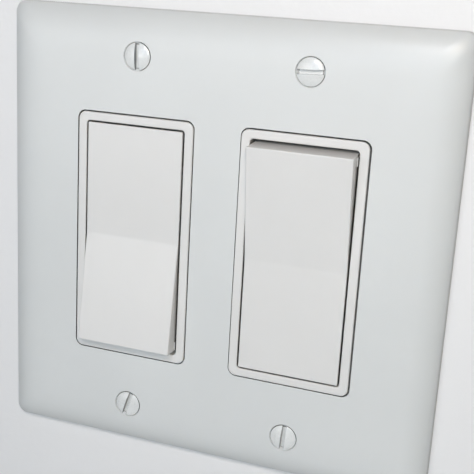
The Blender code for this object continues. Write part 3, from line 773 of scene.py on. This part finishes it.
def make_front_frame(side):
    """Bezel with rounded rims, four snap hooks and a bearing block on each side for the rocker's pins."""
    node = side + "_front_frame"
    low, high = box_mm(node)
    x = (low.x + high.x) / 2
    half_x, half_z = FRAME_HALF_WIDTH, (high.z - low.z) / 2
    inner_x, inner_z = half_x - FRAME_SIDE_BORDER, half_z - FRAME_END_BORDER
    steps = 6
    rings = [frame_ring(half_x, half_z, FRAME_CORNER, FRAME_BACK, x)]
    for i in range(steps + 1):
        turn = math.pi / 2 * i / steps
        step_in = FRAME_EDGE * (1 - math.cos(turn))
        rings.append(frame_ring(half_x - step_in, half_z - step_in, FRAME_CORNER,
                                low.y + FRAME_EDGE * (1 - math.sin(turn)), x))
    for i in range(steps + 1):
        turn = math.pi / 2 * (1 - i / steps)
        step_in = FRAME_EDGE * (1 - math.cos(turn))
        rings.append(frame_ring(inner_x + step_in, inner_z + step_in, WINDOW_CORNER + step_in,
                                low.y + FRAME_EDGE * (1 - math.sin(turn)), x))
    rings.append(frame_ring(inner_x, inner_z, WINDOW_CORNER, FRAME_BACK, x))
    ring = loft(side + "_bezel", rings, closed=True)
    for sx in (-1, 1):
        for z in (-HOOK_Z, HOOK_Z):
            near, far = mirrored(sx, HOOK_INSIDE, HOOK_OUTSIDE)
            join(ring, block("hook", (x + near, HOOK_FRONT, z - 1.8), (x + far, 1.2, z + 1.8)))
            near, far = mirrored(sx, HOOK_INSIDE, BARB_OUTSIDE)
            join(ring, block("barb", (x + near, 0.4, z - 1.6), (x + far, 1.6, z + 1.6)))
        near, far = mirrored(sx, inner_x + 0.05, half_x - 0.05)
        join(ring, block("bearing", (x + near, HOOK_FRONT, -BEARING_HALF_HEIGHT),
                         (x + far, BEARING_BACK, BEARING_HALF_HEIGHT)))
    pivot = pivot_mm(side + "_rocker_tilt")
    cut(ring, bar("bore", PIN_RADIUS + 0.3, -20, 20, at=(x, pivot.y, 0)))
    finished(ring, "white_plastic", "root", node, angle=30)


def rocker_outline(crease, tilt, half, back, wall):
    """Side view about the pivot: two flat halves that meet in a softly rounded crease."""
    rise = math.tan(tilt)
    top = half - wall
    face = [(-crease + wall - rise * math.sqrt(z * z + CREASE_ROUND ** 2) + rise * CREASE_ROUND, z)
            for z in [CREASE_HALF_HEIGHT * k / 6 for k in range(6, -7, -1)]]
    front = -crease + wall - rise * half
    return [(back, top), (front, top), *face, (front, -top), (back, -top)]


def make_rocker(side):
    """Hollow paddle with ears and pins on its pivot, four feet and a post for the spring and plunger."""
    joint = side + "_rocker_tilt"
    tilt = abs(rest_tilt(joint))
    frame_low, frame_high = box_mm(side + "_front_frame")
    reach = pivot_mm(joint).y - (frame_low.y - ROCKER_PROUD)
    crease = reach / math.cos(tilt)
    window = (frame_high.z - frame_low.z) / 2 - FRAME_END_BORDER
    length = window - ROCKER_END_GAP - reach * math.tan(tilt)
    half = length * math.cos(tilt)
    outline = rocker_outline(crease, tilt, half, SKIRT_BACK, 0)
    rocker = prism(side + "_paddle", [outline], -ROCKER_HALF_WIDTH, ROCKER_HALF_WIDTH, "YZ")
    soften(rocker, ROCKER_EDGE, 5, 60)
    inner = ROCKER_HALF_WIDTH - ROCKER_WALL
    hollow = rocker_outline(crease, tilt, half, SKIRT_BACK + 2 * ROCKER_WALL, ROCKER_WALL)
    cut(rocker, prism("hollow", [hollow], -inner, inner, "YZ"))
    ear = [(-4, -EAR_RADIUS), *arc((0, 0), EAR_RADIUS, -90, 90, 20), (-4, EAR_RADIUS)]
    for sx in (-1, 1):
        near, far = mirrored(sx, inner - 0.2, ROCKER_HALF_WIDTH - 0.1)
        join(rocker, prism("ear", [ear], near, far, "YZ"))
        near, far = mirrored(sx, inner + 0.2, PIN_END)
        join(rocker, bar("pin", PIN_RADIUS, near, far))
        near, far = mirrored(sx, FOOT_INSIDE, FOOT_OUTSIDE)
        for z in (-FOOT_Z, FOOT_Z):
            join(rocker, block("foot", (near, -3.3, z - 1.1), (far, 0.8, z + 1.1)))
    root = crease - ROCKER_WALL + 0.5
    bore = crease - ROCKER_WALL - 1.6
    post = [(POST_RADIUS, root), (POST_RADIUS, POST_END), (POST_BORE, POST_END), (POST_BORE, bore)]
    join(rocker, turned("post", post, TO_FRONT, 48))
    rocker.data.transform(leaning(side))
    finished(rocker, "white_plastic", side + "_rocker", side + "_rocker", angle=30)


# ---------------------------------------------------------------- inside the rocker


def make_plunger(side):
    """Nylon plunger: a stem inside the spring, a shoulder under it and a blunt nose on the arm."""
    tip = -PLUNGER_REACH
    shoulder = tip + PLUNGER_SHOULDER
    profile = [(1.0, tip + 12.7), (1.2, tip + 12.62), (1.3, tip + 12.4), (1.3, shoulder + 0.2),
               (1.45, shoulder), (2.3, shoulder), (2.45, shoulder - 0.15), (2.45, tip + 3.6),
               (2.38, tip + 3.35), (1.45, tip + 1.05), (1.2, tip + 0.5), (0.9, tip + 0.2),
               (0.5, tip + 0.04)]
    plunger = turned(side + "_plunger_fine", profile, leaning(side) @ TO_FRONT, 48)
    finished(plunger, "nylon", side + "_plunger", side + "_plunger")


def make_spring(side):
    """Compression spring with closed ends."""
    low = PLUNGER_SHOULDER - PLUNGER_REACH + 2 * SPRING_WIRE
    high = BORE_END - 2 * SPRING_WIRE
    steps, round_steps = 32, 10
    rings = []
    for i in range(steps * SPRING_TURNS + 1):
        along = i / (steps * SPRING_TURNS)
        angle = 2 * math.pi * i / steps
        climb = min(1.0, max(0.0, (along * SPRING_TURNS - 0.8) / (SPRING_TURNS - 1.6)))
        height = low + (high - low) * climb
        out = Vector((math.cos(angle), math.sin(angle), 0.0))
        ring = []
        for k in range(round_steps):
            turn = 2 * math.pi * k / round_steps
            ring.append(out * (SPRING_RADIUS + SPRING_WIRE * math.cos(turn))
                        + Vector((0, 0, height + SPRING_WIRE * math.sin(turn))))
        rings.append(ring)
    spring = loft(side + "_spring_fine", rings, cap_first=True, cap_last=True)
    place = leaning(side)
    spring.data.transform(place @ TO_FRONT)
    finished(spring, "spring_steel", side + "_rocker", side + "_spring", angle=60)
    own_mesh(spring)


# ---------------------------------------------------------------- strap and its hardware


def pan_head(radius, height):
    """Profile of a slightly domed head with a rolled rim, from its crown to its underside."""
    rim, rise = 0.5, 0.12
    dome = [(radius * part, height - rise * part * part) for part in (0.06, 0.3, 0.5, 0.68, 0.8)]
    edge = [(radius - rim + rim * math.sin(math.radians(a)),
             height - rise - rim + rim * math.cos(math.radians(a))) for a in (15, 35, 55, 75, 90)]
    return dome + edge + [(radius, 0.14), (radius - 0.14, 0.0)]


def make_screw(name, slot, place, head, height, shank, length, groove, turn=0.0):
    """Slotted machine screw with a cut thread and a tapered point."""
    profile = pan_head(head, height) + [(shank, -0.04), (shank * 0.62, -length)]
    start, end = -0.5, -length + 0.9
    rows = threaded(profile, start, end, shank)
    screw = turned(name + "_fine", rows, place, 40, (start, end, PITCH_6_32, THREAD_DEPTH))
    depth = height * 0.55
    driver = block("slot", (-head - 1, -groove / 2, height - depth), (head + 1, groove / 2, height + 2))
    driver.data.transform(place @ Matrix.Rotation(turn, 4, "Z"))
    cut(screw, driver)
    finished(screw, slot, "root", name, angle=38)


def cut_slots(target, front, hook_back, bearing_back, hook_outside, bearing_outside):
    """Room for the front frame's four hooks and for the bearing blocks between them."""
    for sx in (-1, 1):
        near, far = mirrored(sx, SLOT_INSIDE, hook_outside)
        for z in (-HOOK_Z, HOOK_Z):
            cut(target, block("slot", (near, front, z - HOOK_SLOT_HALF),
                              (far, hook_back, z + HOOK_SLOT_HALF)))
        near, far = mirrored(sx, SLOT_INSIDE, bearing_outside)
        cut(target, block("slot", (near, front, -BEARING_SLOT_HALF),
                          (far, bearing_back, BEARING_SLOT_HALF)))


def make_strap(side):
    """Stamped steel strap: its burred edges are rounded, and its ears are scored to snap off."""
    node = side + "_strap"
    x = middle(side + "_housing").x
    low, high = box_mm(node)
    front, back = low.y, high.y
    ear = high.z
    right = [(19.2, 36.5), (11.0, 39.5), (11.0, 45.6), (17.8, 46.8), (17.8, ear - 1.0), (16.8, ear)]
    corners = right + [(-a, b) for a, b in right[::-1]]
    corners += [(-a, -b) for a, b in corners]
    loops = [filleted(corners, 1.2, 4), rounded_rectangle(14.15, 31.0, 1.0)]
    for end in (-1, 1):
        loops.append(circle((0, end * middle(side + "_rivet_top").z), RIVET_HOLE, 24))
        loops.append(rounded_rectangle(3.3, 2.15, 2.1, (0, end * middle(side + "_box_screw_top").z)))
        loops.append(circle((0, end * middle(side + "_plate_screw_top").z), PLATE_SCREW_HOLE, 32))
    strap = prism(side + "_strap_fine", loops, front, back)
    cut_slots(strap, -4, 4, 4, HOOK_SLOT_OUTSIDE, BEARING_SLOT_OUTSIDE)
    join(strap, prism("tab", [rounded_rectangle(5.6, 4.5, 1.5, (-13.6, -39.4))], front, back))
    ground = middle(side + "_ground_screw")
    cut(strap, bar("hole", GROUND_HOLE, -4, 4, "Y", (ground.x - x, 0, ground.z)))
    soften(strap, 0.2, 2, 50)
    for sx, sz in CORNERS:
        at, z = sx * SCORE_X, sz * (ear - SCORE_Z)
        for face in (front, back):
            cut(strap, block("score", (at - 0.16, face - 0.22, z - 4), (at + 0.16, face + 0.22, z + 4)))
    strap.data.transform(Matrix.Translation((x * MM, 0, 0)))
    finished(strap, "zinc_steel", "root", node, angle=40)


def make_hardware(side):
    """Box screws with their captive washers, rivets and the ground screw."""
    for end in ENDS:
        name = f"{side}_box_screw_{end}"
        low, high = box_mm(name)
        at = middle(name)
        height = 1.7
        under = low.y + height
        place = Matrix.Translation(Vector((at.x, under, at.z)) * MM) @ TO_FRONT
        make_screw(name, "zinc_steel", place, 3.4, height, 1.7, high.y - under, 1.0)
        name = f"{side}_captive_washer_{end}"
        low, high = box_mm(name)
        at = (low.x + high.x) / 2, (low.z + high.z) / 2
        washer = prism(name + "_fine", [rounded_rectangle(3.7, 3.7, 0.8, at, 8), circle(at, 2.0, 40)],
                       low.y, high.y)
        soften(washer, 0.06, 2, 50)
        finished(washer, "fibre", "root", name)
        name = f"{side}_rivet_{end}"
        low, high = box_mm(name)
        at = middle(name)
        height = 1.2
        dome = [(1.9 * math.sin(math.radians(a)), height * math.cos(math.radians(a)))
                for a in (4, 20, 36, 52, 68, 82, 90)]
        tail = [(1.15, 0), (1.15, -9.2), (1.6, -9.2), (1.72, -9.4), (1.6, -9.7), (1.2, -9.88),
                (0.75, -9.8), (0.6, -9.5), (0.6, -8.4)]
        place = Matrix.Translation(Vector((at.x, high.y - height, at.z)) * MM) @ TO_BACK
        rivet = turned(name + "_fine", dome + tail, place, 36)
        finished(rivet, "zinc_steel", "root", name)
    name = side + "_ground_screw"
    low, high = box_mm(name)
    at = middle(name)
    height = 2.4
    place = Matrix.Translation(Vector((at.x, high.y - height, at.z)) * MM) @ TO_BACK
    make_screw(name, "green_screw", place, 3.9, height, 1.95, 3.0, 1.2)


# ---------------------------------------------------------------- housing and side screws


def shape_housing_end(shell, side, sz, front, back):
    """The upper (1) or lower (-1) half's rivet lug, screw window, wire hole, release slot, strip gauge
    and ejector marks."""
    near, far = mirrored(sz, 32.0, box_mm(side + "_housing")[1].z)
    lug = block("lug", (-4, front + 0.1, near), (4, 7.3, far))
    soften(lug, 0.4, 3, 50)
    join(shell, lug)
    rivet_z = middle(side + "_rivet_top").z
    cut(shell, bar("lug_hole", RIVET_HOLE, -2, 9, "Y", (0, 0, sz * rivet_z), 24))
    screw = middle(side + ("_common_screw" if sz > 0 else "_line_screw"))
    reach = 4.9
    cut(shell, block("window", (13.4, screw.y - reach, screw.z - reach),
                     (OUTSIDE, screw.y + reach, screw.z + reach)))
    z = sz * WIRE_Z
    lead = [(1.9, back + 0.3), (1.9, back - 0.05), (1.2, back - 0.9), (1.2, 20)]
    place = Matrix.Translation(Vector((WIRE_HOLE_X, 0, z)) * MM) @ TO_BACK
    cut(shell, turned("lead", lead, place, 32))
    cut(shell, block("release", (6.2, 20, z - 0.8), (8.8, 27, z + 0.8)))
    cut(shell, prism("gauge", [rounded_rectangle(1.0, 4.6, 0.99, (-9.5, z))], back - 0.35, back + 1))
    for x in (-11.5, 2.5):
        cut(shell, bar("ejector", 1.6, back - 0.14, back + 1, "Y", (x, 0, sz * 26.8), 28))


def make_housing(side):
    """Moulded case: parting line, sunken panels, ribs between them, lead-ins at the wire holes."""
    node = side + "_housing"
    low, high = box_mm(node)
    x = (low.x + high.x) / 2
    half_x, half_z = (high.x - low.x) / 2, HOUSING_HALF_HEIGHT
    front, back = low.y, high.y
    rings = []
    for step_in, y in ((0.25, front), (0.0, front + 0.25), (0.0, PARTING_LINE - 0.2),
                       (0.14, PARTING_LINE - 0.1), (0.14, PARTING_LINE + 0.1), (0.0, PARTING_LINE + 0.2),
                       (0.02, back - 0.9), (0.09, back - 0.55), (0.3, back - 0.22), (0.62, back - 0.05),
                       (0.95, back)):
        outline = rounded_rectangle(half_x - step_in, half_z - step_in, HOUSING_CORNER, (0, 0), 8)
        rings.append([(a, y, b) for a, b in outline])
    shell = loft(node + "_fine", rings, cap_first=True, cap_last=True)
    inside = back - HOUSING_FLOOR
    cavity = rounded_rectangle(half_x - HOUSING_WALL, half_z - HOUSING_WALL, 1.0, (0, 0), 4)
    cut(shell, prism("cavity", [cavity], -2, inside))
    join(shell, block("platform", (-7, 19.8, -14.3), (12.2, inside + 0.8, 14.3)))
    for sz in (-1, 1):
        shape_housing_end(shell, side, sz, front, back)
    cut(shell, prism("plaque", [rounded_rectangle(4.6, 8.0, 0.8, (-8.5, 0))], back - 0.3, back + 1))
    cut_slots(shell, -2, 2.2, 2.1, OUTSIDE, OUTSIDE)
    for sx, sz in CORNERS:
        near, far = mirrored(sx, half_x - PANEL_DEPTH, OUTSIDE)
        cut(shell, prism("panel", [rounded_rectangle(3.9, 5.2, 0.8, (18.2, sz * 25.2))], near, far, "YZ"))
    near, far = mirrored(-1, half_x - PANEL_DEPTH, OUTSIDE)
    for z in (-18, -9, 0, 9, 18):
        cut(shell, prism("panel", [rounded_rectangle(7.2, 3.4, 0.8, (13.4, z))], near, far, "YZ"))
    shell.data.transform(Matrix.Translation((x * MM, 0, 0)))
    finished(shell, "grey_thermoplastic", "root", node, angle=35)


def make_side_screws(side):
    for end in ("common", "line"):
        name = f"{side}_{end}_screw"
        low, high = box_mm(name)
        at = middle(name)
        height = 2.5
        place = Matrix.Translation(Vector((high.x - height, at.y, at.z)) * MM) @ TO_RIGHT
        make_screw(name, "brass", place, 4.2, height, 1.95, 6.3, 1.2, math.radians(90))


# ---------------------------------------------------------------- carried-over CAD nodes


def dress(node, slot, width=0.12, segments=2):
    """A CAD node that stays: a real surface, softened edges and smooth round faces."""
    obj = frame["nodes"][node]
    obj.data.materials.clear()
    obj.data.materials.append(SURFACES[slot])
    if width:
        bevel = obj.modifiers.new("soften", "BEVEL")
        bevel.width = width * MM
        bevel.segments = segments
        bevel.limit_method = "ANGLE"
        bevel.angle_limit = math.radians(50)
    obj.data.shade_smooth()
    obj.data.set_sharp_from_angle(angle=math.radians(35))


# ---------------------------------------------------------------- stage


def make_stage():
    """A wall that is open behind the plate, as at a wall box, and a floor."""
    low, high = box_mm("wall_plate")
    left, right = low.x + WALL_OVERLAP, high.x - WALL_OVERLAP
    bottom, top = low.z + WALL_OVERLAP, high.z - WALL_OVERLAP
    opening = [(left, bottom), (right, bottom), (right, top), (left, top)]
    outside = [(-WALL_REACH, -FLOOR_DROP), (WALL_REACH, -FLOOR_DROP), (WALL_REACH, WALL_REACH),
               (-WALL_REACH, WALL_REACH)]
    mesh = bpy.data.meshes.new("wall")
    work = bmesh.new()
    rows = [[work.verts.new((x * MM, WALL_LEVEL * MM, z * MM)) for x, z in loop]
            for loop in (outside, opening)]
    for i in range(4):
        j = (i + 1) % 4
        work.faces.new((rows[0][i], rows[0][j], rows[1][j], rows[1][i]))
    work.to_mesh(mesh)
    work.free()
    wall = new_object("wall", mesh)
    wall.data.materials.append(painted_wall("wall_paint", (0.86, 0.86, 0.87)))
    mesh = bpy.data.meshes.new("floor")
    work = bmesh.new()
    bmesh.ops.create_grid(work, x_segments=2, y_segments=2, size=FLOOR_REACH * MM)
    work.to_mesh(mesh)
    work.free()
    floor = new_object("floor", mesh)
    floor.location = (0, 0, -FLOOR_DROP * MM)
    floor.data.materials.append(plain_floor("floor_paint", (0.80, 0.80, 0.79)))


def make_light(name, at, target, size, power, colour=(1, 1, 1)):
    lamp = bpy.data.lights.new(name, "AREA")
    lamp.shape = "DISK"
    lamp.size = size
    lamp.energy = power
    lamp.color = colour
    obj = new_object(name, lamp)
    obj.location = at
    obj.rotation_euler = (Vector(target) - Vector(at)).to_track_quat("-Z", "Y").to_euler()


def lobe(tree, direction, towards, power, colour):
    """A soft patch of sky round one direction."""
    side = add(tree, "VectorMath", {0: direction, 1: Vector(towards).normalized()},
               operation="DOT_PRODUCT")
    near = math_node(tree, "POWER", math_node(tree, "MAXIMUM", side.outputs["Value"], 0.0), power)
    return mixed(tree, near, (0.0, 0.0, 0.0, 1.0), (*colour, 1.0))


def make_world():
    """Soft studio surround: a bright panel low on the front left, which the flat faces mirror, and an
    even light behind the wall. The camera itself sees only plain pale grey."""
    world = bpy.data.worlds.new("studio")
    bpy.context.scene.world = world
    world.use_nodes = True
    tree = world.node_tree
    direction = add(tree, "TexCoord").outputs["Generated"]
    light = lobe(tree, direction, (-0.33, -0.90, -0.27), 12, (6.7, 6.7, 6.7))
    for towards, power, colour in (((0, 1, 0), 1, (0.55, 0.56, 0.58)), ((1, 0, 0), 2, (0.16, 0.17, 0.19))):
        patch = lobe(tree, direction, towards, power, colour)
        added = add(tree, "Mix", {"Factor": 1.0, 6: light, 7: patch}, data_type="RGBA", blend_type="ADD",
                    clamp_result=False)
        light = added.outputs[2]
    seen = add(tree, "LightPath").outputs["Is Camera Ray"]
    light = mixed(tree, seen, light, (0.74, 0.75, 0.76, 1.0))
    tree.links.new(light, tree.nodes["Background"].inputs["Color"])


def make_lights():
    """A group of soft lights round the camera, and two for the back."""
    make_light("front_camera", (0.26, -0.72, 0.22), (0, 0, 0), 0.14, 0.95, (0.80, 0.97, 1.0))
    make_light("front_near", (0.15, -0.33, 0.20), (0, 0, 0), 0.10, 0.32, (1.0, 0.72, 0.45))
    make_light("front_top", (0.05, -0.35, 0.25), (0, 0, 0), 0.10, 0.60, (0.95, 0.95, 0.98))
    make_light("front_left", (0.0, -0.60, 0.20), (0, 0, 0), 0.30, 0.25, (0.2, 0.55, 1.0))
    make_light("back_left", (-0.7, 1.1, 0.7), (0, 0, 0), 0.8, 9.0)
    make_light("back_right", (1.0, 0.7, 0.5), (0, 0, 0), 0.8, 8.0)


def make_camera():
    """Stands to the right of the plate and a little above it, turned slightly about its own axis."""
    azimuth, elevation, roll = (math.radians(a) for a in (19.30, 15.28, -3.31))
    target = Vector((6.80, -5.5, 4.91)) * MM
    distance = 0.2450
    forward = Vector((-math.sin(azimuth) * math.cos(elevation), math.cos(azimuth) * math.cos(elevation),
                      -math.sin(elevation)))
    camera = bpy.data.cameras.new("camera")
    camera.sensor_width = 36.0
    camera.lens = 72.24
    camera.clip_start = 0.01
    obj = new_object("camera", camera)
    turn = forward.to_track_quat("-Z", "Y").to_matrix().to_4x4() @ Matrix.Rotation(-roll, 4, "Z")
    obj.matrix_world = Matrix.Translation(target - forward * distance) @ turn
    bpy.context.scene.camera = obj


# ---------------------------------------------------------------- assembly


make_plate()
for side in SIDES:
    for end in ENDS:
        make_plate_screw(f"{side}_plate_screw_{end}")
    make_front_frame(side)
    make_rocker(side)
    make_plunger(side)
    make_spring(side)
    make_strap(side)
    make_hardware(side)
    make_housing(side)
    make_side_screws(side)
for item in frame["record"]["subparts"]:
    if not frame["nodes"][item["node"]].hide_render:
        dress(item["node"], item["material_slot"])
make_stage()
make_world()
make_lights()
make_camera()
bpy.context.scene.view_settings.view_transform = "Standard"
